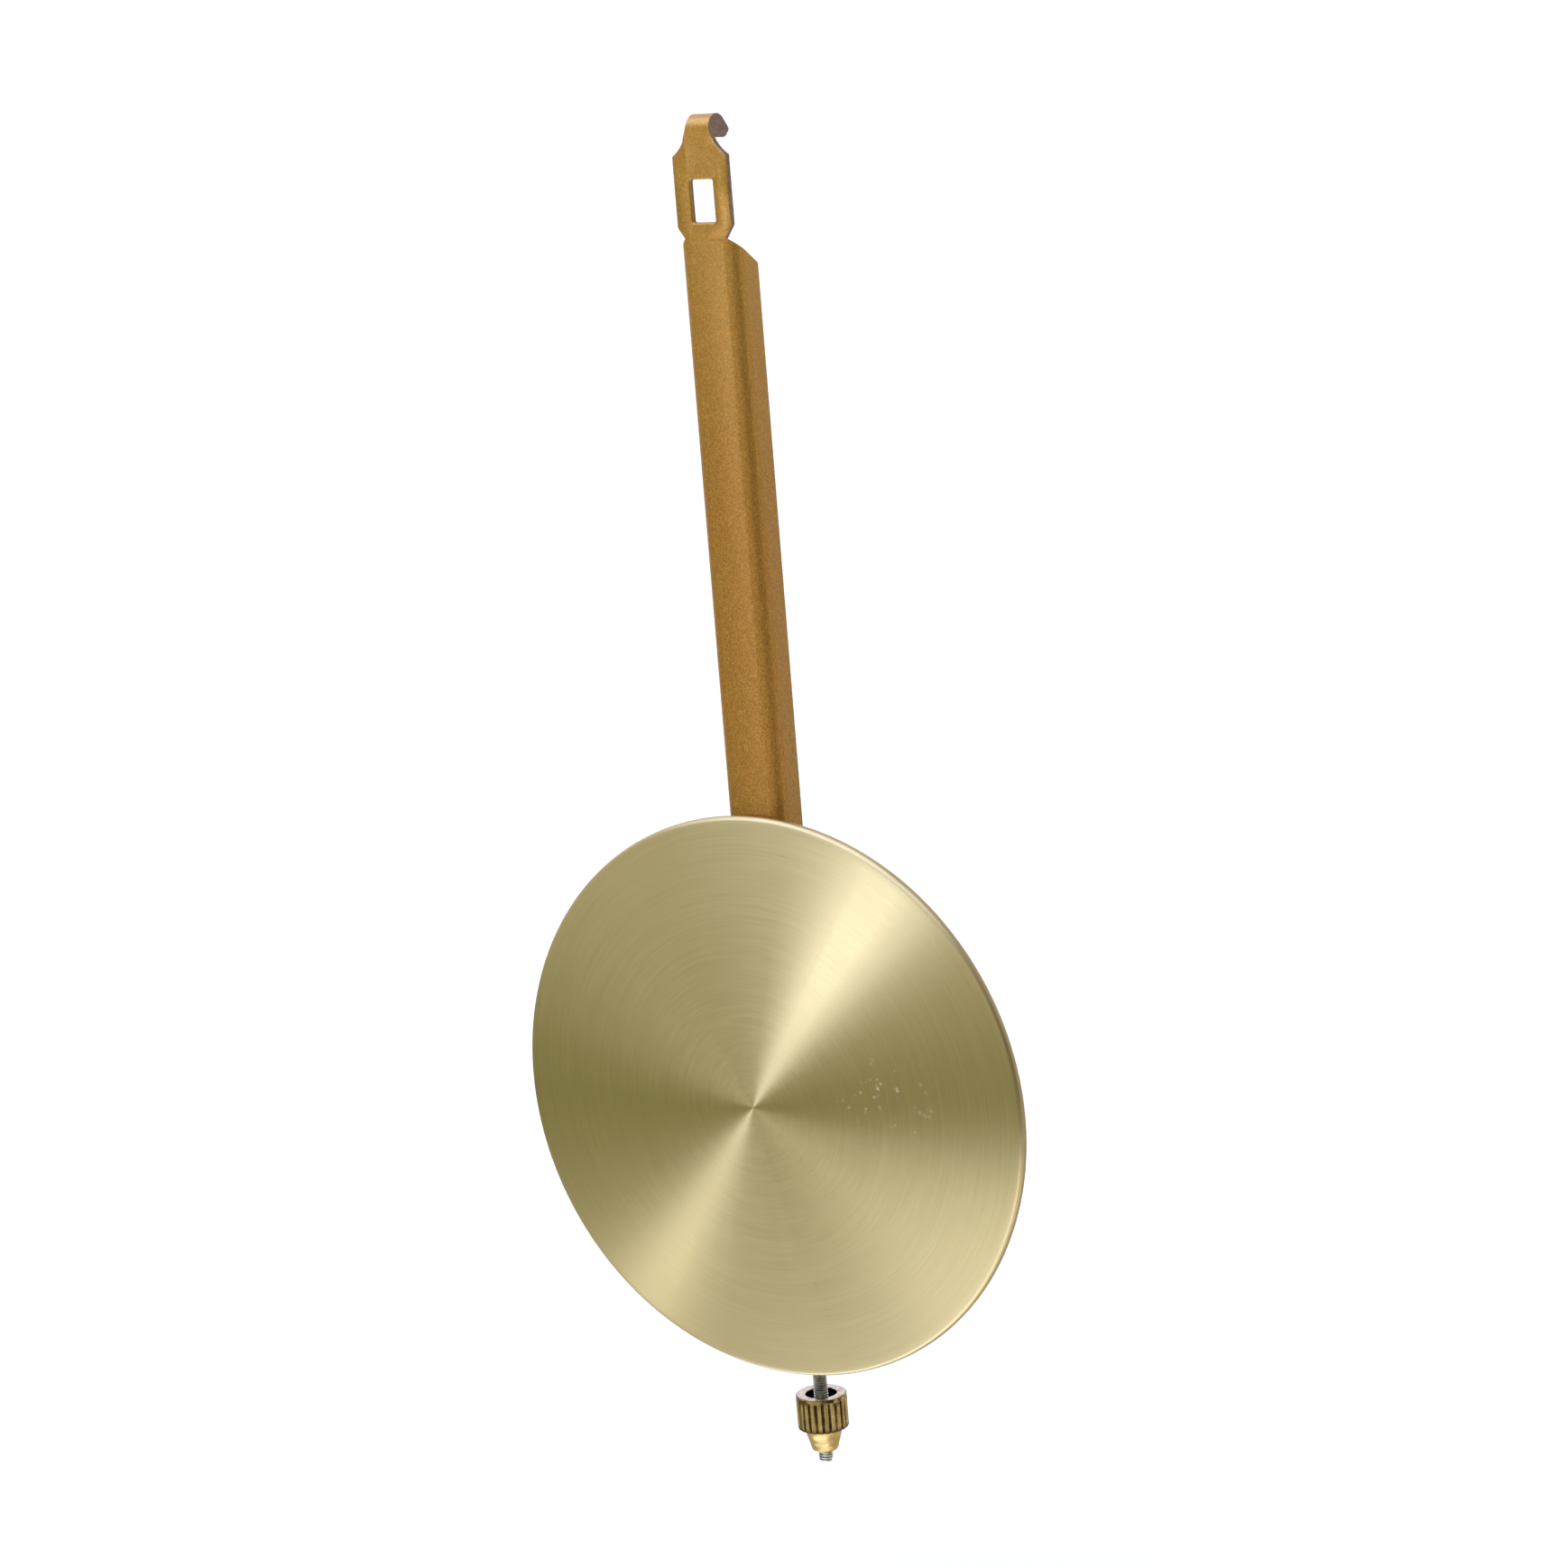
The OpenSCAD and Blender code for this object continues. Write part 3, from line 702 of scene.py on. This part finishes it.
class PENDULUM_OT_rod(bpy.types.Operator):
    """Cuts the rod's thread and keeps its riveted head"""

    bl_idname = "pendulum.rod"
    bl_label = "Threaded rod"

    def execute(self, context):
        sizes, tones = context.scene.pendulum_sizes, tones_of(context)
        radius = sizes.rod_d / 2
        root = radius - sizes.thread_h
        # the rod's tenon goes through the sheet of the lug and is riveted over it
        top, head_r = ROD_HIGH.z, (ROD_HIGH.x - ROD_LOW.x) / 2
        head_h, sheet, tenon_r = 0.0008, 0.001, 0.35 * sizes.rod_d
        lug_top, lug_bottom = top - head_h, top - head_h - sheet
        # under the lug the rod is plain, and the thread's root and ridge end below that
        chamfer, plain_h, root_gap, ridge_gap = 0.0001, 0.0006, 0.0008, 0.0009
        core = lathe("rod core", [
            (0, ROD_LOW.z), (root - chamfer, ROD_LOW.z), (root, ROD_LOW.z + chamfer),
            (root, lug_bottom - root_gap), (radius, lug_bottom - plain_h), (radius, lug_bottom),
            (tenon_r, lug_bottom), (tenon_r, lug_top), (head_r, lug_top),
            (head_r * 0.97, lug_top + 0.45 * head_h), (head_r * 0.8, lug_top + 0.8 * head_h),
            (head_r * 0.45, top), (0, top)],
            steps=48, place=Matrix.Translation((0, ROD_AXIS_Y, 0)))
        outward(core, sharp_deg=40)
        zinc = zinc_finish(tones)
        # in whole quarters of a turn
        turns = math.floor((lug_bottom - ridge_gap - ROD_LOW.z) / sizes.pitch * 4) / 4
        ridge = new_object("rod_thread", bpy.data.meshes.new("rod_thread"))
        # the ridge's foot is sunk into the core
        sunk = 0.00006
        tree = helix_tree(
            zinc, radius=root + (sizes.thread_h - sunk) / 2, pitch=sizes.pitch, turns=turns,
            root_w=sizes.pitch * 0.875, crest_w=sizes.pitch * 0.16, depth=sizes.thread_h + sunk)
        tree.apply(ridge)
        ridge.data.transform(Matrix.Translation((0, ROD_AXIS_Y, ROD_LOW.z + sizes.pitch * 0.5)))
        outward(ridge.data, sharp_deg=25)
        obj = new_object("screw_rod", joined("screw_rod", [core, ridge.data]))
        bpy.data.objects.remove(ridge)
        finish_piece(obj, "stick", ["threaded_rod"], [zinc])
        return {"FINISHED"}


class PENDULUM_OT_bob(bpy.types.Operator):
    """Spins the bob's brass shell with its rolled rim and its lip"""

    bl_idname = "pendulum.bob"
    bl_label = "Bob shell"

    def execute(self, context):
        sizes, tones = context.scene.pendulum_sizes, tones_of(context)
        front = BOB_LOW.y
        sphere_r = (RIM_CREST_R ** 2 + sizes.dome_h ** 2) / (2 * sizes.dome_h)
        rim_y = front + sizes.dome_h + RIM_ROLL_R
        meet = math.asin(RIM_CREST_R / sphere_r)

        def dome(radius, inset):
            return (radius, front + sphere_r - math.sqrt((sphere_r - inset) ** 2 - radius ** 2))

        def rim(share, roll):
            angle = meet + (math.pi - meet) * share
            return (RIM_CREST_R + roll * math.sin(angle), rim_y - roll * math.cos(angle))

        dome_steps, roll_steps, inner_roll_steps, inner_dome_steps = 44, 14, 8, 12
        outer_end = RIM_CREST_R + RIM_ROLL_R * math.sin(meet)
        profile = [dome(outer_end * k / dome_steps, 0) for k in range(dome_steps)]
        profile += [rim(k / roll_steps, RIM_ROLL_R) for k in range(roll_steps + 1)]
        inner_roll = RIM_ROLL_R - sizes.shell_t
        profile += [(RIM_CREST_R - sizes.lip_w, rim_y + RIM_ROLL_R),
                    (RIM_CREST_R - sizes.lip_w, rim_y + inner_roll)]
        profile += [rim(1 - k / inner_roll_steps, inner_roll) for k in range(inner_roll_steps + 1)]
        inner_end = profile[-1][0]
        profile += [dome(inner_end * (1 - k / inner_dome_steps), sizes.shell_t)
                    for k in range(1, inner_dome_steps + 1)]
        # the brushing ends two steps round the roll
        brushed = dome_steps + 2
        slots = [0] * brushed + [1] * (len(profile) - brushed)
        place = Matrix.Translation((0, 0, BOB_AXIS_Z)) @ LAID_BACK
        mesh = lathe("bob_shell", profile, steps=192, place=place, slots=slots)
        outward(mesh, sharp_deg=45)
        obj = new_object("bob_shell", mesh)
        finish_piece(obj, "bob", ["bob_face"],
                     [brushed_finish(tones), rim_finish(tones)])
        return {"FINISHED"}


class PENDULUM_OT_straps(bpy.types.Operator):
    """Softens the plated parts behind the bob and gives the inner parts their finish"""

    bl_idname = "pendulum.straps"
    bl_label = "Plate, guides, spring and foot"

    def execute(self, context):
        tones = tones_of(context)
        steel, spring = tones["steel"], tones["spring"]
        strap = steel_finish("strap zinc", steel, rough=0.34, scale=900, stretch=(0.2, 1, 1))
        plate = steel_finish(
            "back plate zinc", shade(steel, 1.1), rough=0.4, scale=700, stretch=(1, 1, 0.12))
        blued = steel_finish("blued spring", spring, rough=0.26, scale=900, stretch=(1, 1, 0.1))
        strap_edge, plate_edge, spring_edge = 0.0001, 0.00008, 0.00005
        for node, name, edge, slot, material in (
                ("upper_guide", "upper_strap", strap_edge, "strap_steel", strap),
                ("lower_guide", "lower_strap", strap_edge, "strap_steel", strap),
                ("foot_bracket", "foot_strap", strap_edge, "strap_steel", strap),
                ("bob_backplate", "back_disc", plate_edge, "plate_steel", plate),
                ("guide_spring", "leaf", spring_edge, "spring_steel", blued)):
            obj = softened(node, name, edge)
            finish_piece(obj, "bob", [node], [material, material])
        weight = NODES["bob_weight"].data
        weight.materials.clear()
        weight.materials.append(iron_finish(tones))
        return {"FINISHED"}


class PENDULUM_OT_rivets(bpy.types.Operator):
    """Sets the domed rivets of the guides, of the leaf spring and of the foot"""

    bl_idname = "pendulum.rivets"
    bl_label = "Rivets"

    def execute(self, context):
        steel = tones_of(context)["steel"]
        metal = steel_finish("rivet zinc", shade(steel, 1.15), rough=0.28, scale=1500)
        head_r, head_h, shank_r, closed_h = 0.0019, 0.0009, 0.001, 0.0005
        plain_end = [(0, 0), (shank_r, 0)]
        closed_end = [(0, 0), (head_r, 0), (head_r, closed_h), (shank_r, closed_h)]
        for node, name, end, n_across, n_along in (
                ("guide_rivets", "guide_rivet_heads", plain_end, 2, 2),
                ("foot_rivets", "foot_rivet_heads", closed_end, 2, 1),
                ("spring_rivet", "leaf_rivet_head", closed_end, 1, 1)):
            low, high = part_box(node)
            length = high.y - low.y
            profile = end + [(shank_r, length - head_h)]
            profile += rivet_head(head_r, head_h, length)
            place = Matrix.Translation((0, low.y, low.z + head_r)) @ LAID_BACK
            one = lathe(name, profile, steps=40, place=place)
            outward(one, sharp_deg=50)
            obj = new_object(name, one)
            across = high.x - low.x - 2 * head_r if n_across > 1 else 0.0
            along = high.z - low.z - 2 * head_r
            rows_tree(metal, across, along, n_across, n_along).apply(obj)
            finish_piece(obj, "bob", [node], [metal])
        return {"FINISHED"}


def rivet_head(radius, height, tip):
    """Profile of a domed head with a low upright rim, up to its tip on the axis"""
    steps, rim = 8, 0.08
    profile = [(radius, tip - height)]
    for k in range(1, steps):
        angle = k * math.pi / (2 * steps)
        rise = height * (rim + (1 - rim) * math.sin(angle))
        profile.append((radius * math.cos(angle), tip - height + rise))
    return profile + [(0, tip)]


class PENDULUM_OT_bush(bpy.types.Operator):
    """Softens the turned bush that runs on the rod"""

    bl_idname = "pendulum.bush"
    bl_label = "Rod bush"

    def execute(self, context):
        obj = softened("rod_bush", "turned_bush", width=0.00012)
        brass = turned_finish(tones_of(context), "turned bush brass")
        finish_piece(obj, "bob", ["rod_bush"], [brass, brass])
        return {"FINISHED"}


class PENDULUM_OT_nut(bpy.types.Operator):
    """Turns the rating nut and sets its knurl of straight ribs"""

    bl_idname = "pendulum.nut"
    bl_label = "Rating nut"

    def execute(self, context):
        sizes, tones = context.scene.pendulum_sizes, tones_of(context)
        radius = (NUT_HIGH.x - NUT_LOW.x) / 2
        height = NUT_HIGH.z - NUT_LOW.z
        core_r = radius - sizes.groove_h
        cone_h, knurl_h = 0.0043, 0.0054
        collar_z = cone_h + knurl_h
        cone = nut_cone(cone_h)
        collar = nut_collar(radius, core_r, cone_h, collar_z, height)
        recess = nut_recess(height)
        # the slots are those of the knurl's finish, of the top's and of the cone's and the bore's
        slots = [2] * len(cone) + [0] * (len(collar) - 1) + [1] * len(recess) + [2]
        place = Matrix.Translation((0, ROD_AXIS_Y, NUT_LOW.z))
        turned = lathe("nut body", cone + collar + recess, steps=132, place=place, slots=slots)
        outward(turned, sharp_deg=35)

        aged = knurl_finish(tones)
        materials = [aged, ring_finish(tones), turned_finish(tones, "turned cone brass")]
        pitch_w = TURN * radius / sizes.ribs
        rib = knurl_rib(pitch_w - sizes.groove_w, pitch_w - 0.4 * sizes.groove_w,
                        sizes.groove_h, cone_h, collar_z)
        ribs = new_object("knurl_ribs", rib)
        ring_tree(aged, sizes.ribs, core_r).apply(ribs)
        ribs.data.transform(place)
        # the tree adds its material as a second slot, and clearing turns the ribs back to the first
        ribs.data.materials.clear()
        outward(ribs.data, sharp_deg=30)
        obj = new_object("knurled_nut", joined("knurled_nut", [turned, ribs.data]))
        bpy.data.objects.remove(ribs)
        finish_piece(obj, "nut", ["rating_nut"], materials)
        return {"FINISHED"}


def nut_cone(cone_h):
    """Profile of the cone under the knurl, from the bore round its foot and up past tool marks"""
    foot_r, round_r, bore_bevel = 0.0024, 0.0006, 0.00015
    profile = [(NUT_BORE_R, bore_bevel), (NUT_BORE_R + bore_bevel, 0)]
    round_steps = 8
    for k in range(round_steps):
        angle = k * math.pi / (2 * round_steps)
        profile.append((foot_r - round_r + round_r * math.sin(angle),
                        round_r - round_r * math.cos(angle)))
    steps, marked, mark_in, mark_out, mark_h = 7, (2, 4, 5), 0.00003, 0.00002, 0.00008
    for k in range(1, steps):
        z = round_r + (cone_h - round_r) * k / steps
        r = foot_r + (NUT_CONE_R - foot_r) * k / steps
        profile += [(r - mark_in, z - mark_h), (r + mark_out, z)] if k in marked else [(r, z)]
    return profile


def nut_collar(radius, core_r, cone_h, collar_z, height):
    """Profile of the core that carries the ribs and of the plain collar over it"""
    corner_in = 0.00006
    return [
        (NUT_CONE_R, cone_h), (core_r - NUT_BEVEL, cone_h), (core_r, cone_h + NUT_BEVEL),
        (core_r, collar_z), (radius - NUT_BEVEL, collar_z), (radius, collar_z + NUT_BEVEL),
        (radius, height - NUT_CORNER), (radius - corner_in, height - corner_in),
        (radius - NUT_CORNER, height)]


def nut_recess(height):
    """Profile of the round recess in the nut's top, down to the bore"""
    recess_r, floor = 0.0028, height - 0.0022
    return [
        (recess_r + NUT_BEVEL, height), (recess_r, height - NUT_BEVEL), (recess_r, floor),
        (NUT_BORE_R + NUT_CORNER, floor), (NUT_BORE_R, floor - NUT_CORNER)]


def knurl_rib(crest_w, root_w, depth, low, high):
    """One straight rib that stands out along X, with softened crest and ends"""
    soft = depth * 0.3
    # the rib reaches this far into the core and into the collar
    sunk = 0.0001
    section = [(-sunk, -root_w / 2), (0, -root_w / 2), (depth - soft, -crest_w / 2 - soft * 0.5),
               (depth, -crest_w / 2 + soft), (depth, crest_w / 2 - soft),
               (depth - soft, crest_w / 2 + soft * 0.5), (0, root_w / 2), (-sunk, root_w / 2)]
    levels = [(low, depth * 0.5), (low + depth * 0.5, 0.0), (high - sunk, 0.0), (high + sunk, 0.0)]
    points = [(min(x, depth - cut), y, z) for z, cut in levels for x, y in section]
    n, faces = len(section), []
    for below in range(0, len(points) - n, n):
        above = below + n
        for k in range(n):
            after = (k + 1) % n
            faces.append([below + k, below + after, above + after, above + k])
    faces += [list(range(n)), list(range(len(points) - n, len(points)))]
    return mesh_from("rib", points, faces)


# Stage

class PENDULUM_OT_stage(bpy.types.Operator):
    """Sets the pale floor, the studio lights and the camera"""

    bl_idname = "pendulum.stage"
    bl_label = "Stage"

    def execute(self, context):
        scene = context.scene
        scene.view_settings.view_transform = "Standard"
        floor_z = ROD_LOW.z - scene.pendulum_sizes.floor_drop
        floor = pale_floor(floor_z)
        wall = pale_wall(floor_z)
        studio_world(scene)
        soft_light(
            "window", azimuth=-22, elevation=-2, wide=6, high=4, radiance=(14.2, 15.0, 18.0))
        soft_light(
            "table glint", azimuth=-48, elevation=-28, wide=3, high=3,
            radiance=(13.4, 13.6, 14.6))
        set_camera(scene)
        return {"FINISHED"}


def pale_floor(z):
    """A wide floor that neither shows in the brass nor keeps the light from it"""
    reach = 30.0
    corners = [(-reach, -reach, z), (reach, -reach, z), (reach, reach, z), (-reach, reach, z)]
    floor = new_object("floor", mesh_from("floor", corners, [[0, 1, 2, 3]]))
    pale = Finish("pale floor", Roughness=0.9, Specular_IOR_Level=0.1)
    pale.set(Base_Color=pale.mix(pale.noise(3, 2), (0.95, 0.95, 0.95), (0.97, 0.97, 0.97)))
    floor.data.materials.append(pale.material)
    floor.visible_glossy = False
    floor.visible_shadow = False
    return floor


def pale_wall(foot):
    """A round white wall. It is only a backdrop, and neither lights the bob nor shows in it"""
    steps, reach = 64, 7.0
    points = [(x, y, z) for z in (foot, foot + reach) for x, y in circle(reach, steps)]
    faces = [[k, k + steps, (k + 1) % steps + steps, (k + 1) % steps] for k in range(steps)]
    wall = new_object("wall", mesh_from("wall", points, faces))
    white = Finish(
        "pale wall", Roughness=1.0, Specular_IOR_Level=0.0, Emission_Strength=1.0,
        Base_Color=(0.9, 0.9, 0.9, 1), Emission_Color=(1.0, 1.0, 1.0, 1))
    wall.data.materials.append(white.material)
    wall.visible_diffuse = False
    wall.visible_glossy = False
    wall.visible_shadow = False
    return wall


def direction(azimuth, elevation):
    """From the object towards a light. Azimuth 0 is in front of the bob and 90 is to its right"""
    a, e = math.radians(azimuth), math.radians(elevation)
    return Vector((math.sin(a) * math.cos(e), -math.cos(a) * math.cos(e), math.sin(e)))


def soft_light(name, azimuth, elevation, wide, high, radiance):
    """A panel that fills the given angles, seen from the bob, with the given radiance"""
    distance = 3.0
    data = bpy.data.lights.new(name, "AREA")
    data.shape = "RECTANGLE"
    data.size = 2 * distance * math.tan(math.radians(wide / 2))
    data.size_y = 2 * distance * math.tan(math.radians(high / 2))
    data.energy = max(radiance) * math.pi * data.size * data.size_y
    data.color = [channel / max(radiance) for channel in radiance]
    lamp = new_object(name, data)
    towards = direction(azimuth, elevation)
    lamp.location = Vector((0.0, 0.0, BOB_AXIS_Z)) + towards * distance
    lamp.rotation_euler = towards.to_track_quat("Z", "Y").to_euler()


class Room(NodeBuilder):
    """A world of soft cards by direction in degrees, each laid over the ones before it"""

    def __init__(self, scene, tone):
        scene.world = bpy.data.worlds.new("studio")
        scene.world.use_nodes = True
        super().__init__(scene.world.node_tree)
        self.tone = tone
        x, y, z = self.split(self.nodes.new("ShaderNodeTexCoord").outputs["Generated"])
        self.azimuth = self.maths("DEGREES", self.maths("ARCTAN2", x, self.times(y, -1.0)))
        self.elevation = self.maths("DEGREES", self.maths("ARCSINE", z))

    def ramp(self, value, start, end):
        """Rises smoothly from 0 at the start to 1 at the end, whichever is the lower"""
        falls = start > end
        made = self.node(
            "ShaderNodeMapRange", value, min(start, end), max(start, end),
            1.0 if falls else 0.0, 0.0 if falls else 1.0,
            settings={"interpolation_type": "SMOOTHSTEP"})
        return made.outputs[0]

    def card(self, tone, azimuth, half_width, low, high, soft):
        """A card to both sides of the azimuth, from the low to the high elevation"""
        half = soft / 2
        turned = self.maths("WRAP", self.maths("SUBTRACT", self.azimuth, azimuth), 180.0, -180.0)
        beside = self.ramp(self.maths("ABSOLUTE", turned), half_width + half, half_width - half)
        above = self.ramp(self.elevation, low - half, low + half)
        below = self.ramp(self.elevation, high + half, high - half)
        self.tone = self.mix(self.times(above, below, beside), self.tone, tone)

    def close(self):
        self.feed(self.nodes["Background"].inputs["Color"], self.tone)


def studio_world(scene):
    """A white ceiling and table, with dark flags in front and to the right of the bob"""
    room = Room(scene, (0.61, 0.58, 0.46))
    room.card((2.2, 2.5, 3.4), azimuth=-19, half_width=92, low=38, high=120, soft=26)
    room.card((1.9, 2.0, 2.3), azimuth=-28, half_width=101, low=-120, high=-50, soft=6)
    room.card((1.57, 1.58, 1.6), azimuth=38, half_width=60, low=-48, high=-15, soft=18)
    room.card((0.20, 0.20, 0.05), azimuth=-21, half_width=86, low=-24, high=-6, soft=26)
    room.card((1.0, 1.0, 1.0), azimuth=-150, half_width=45, low=0, high=60, soft=24)
    room.card((0.02, 0.02, 0.01), azimuth=62, half_width=28, low=-23, high=44, soft=10)
    room.close()


def set_camera(scene):
    """The photograph's own view, with its small roll"""
    data = bpy.data.cameras.new("camera")
    data.sensor_fit = "HORIZONTAL"
    data.sensor_width, data.lens = 36.0, 98.5
    data.clip_start, data.clip_end = 0.02, 100.0
    place = Vector((392.46, -598.29, 41.15)) * MM
    right = Vector((0.84575, 0.52777, -0.07853)).normalized()
    back = Vector((0.53165, -0.82102, 0.20804)).normalized()
    up = back.cross(right).normalized()
    right = up.cross(back).normalized()
    turn = Matrix((right, up, back)).transposed()
    camera = new_object("camera", data)
    camera.matrix_world = Matrix.Translation(place) @ turn.to_4x4()
    scene.camera = camera


# Panel and classes

class PENDULUM_PT_panel(bpy.types.Panel):
    """Lists the pendulum's pieces, sizes and colours"""

    bl_label = "Clock pendulum"
    bl_space_type = "VIEW_3D"
    bl_region_type = "UI"
    bl_category = "Pendulum"

    def draw(self, context):
        for operator in OPERATORS:
            self.layout.operator(operator.bl_idname)
        for group in (context.scene.pendulum_sizes, context.scene.pendulum_colours):
            box = self.layout.box()
            for key in type(group).__annotations__:
                box.prop(group, key)


OPERATORS = (
    PENDULUM_OT_stick, PENDULUM_OT_rod, PENDULUM_OT_bob, PENDULUM_OT_straps, PENDULUM_OT_rivets,
    PENDULUM_OT_bush, PENDULUM_OT_nut, PENDULUM_OT_stage)
CLASSES = (PendulumSizes, PendulumColours, *OPERATORS, PENDULUM_PT_panel)


def register():
    for cls in CLASSES:
        bpy.utils.register_class(cls)
    bpy.types.Scene.pendulum_sizes = PointerProperty(type=PendulumSizes)
    bpy.types.Scene.pendulum_colours = PointerProperty(type=PendulumColours)


def unregister():
    del bpy.types.Scene.pendulum_colours
    del bpy.types.Scene.pendulum_sizes
    for cls in reversed(CLASSES):
        bpy.utils.unregister_class(cls)


def main():
    register()
    for operator in OPERATORS:
        family, name = operator.bl_idname.split(".")
        getattr(getattr(bpy.ops, family), name)()


if __name__ == "__main__":
    main()
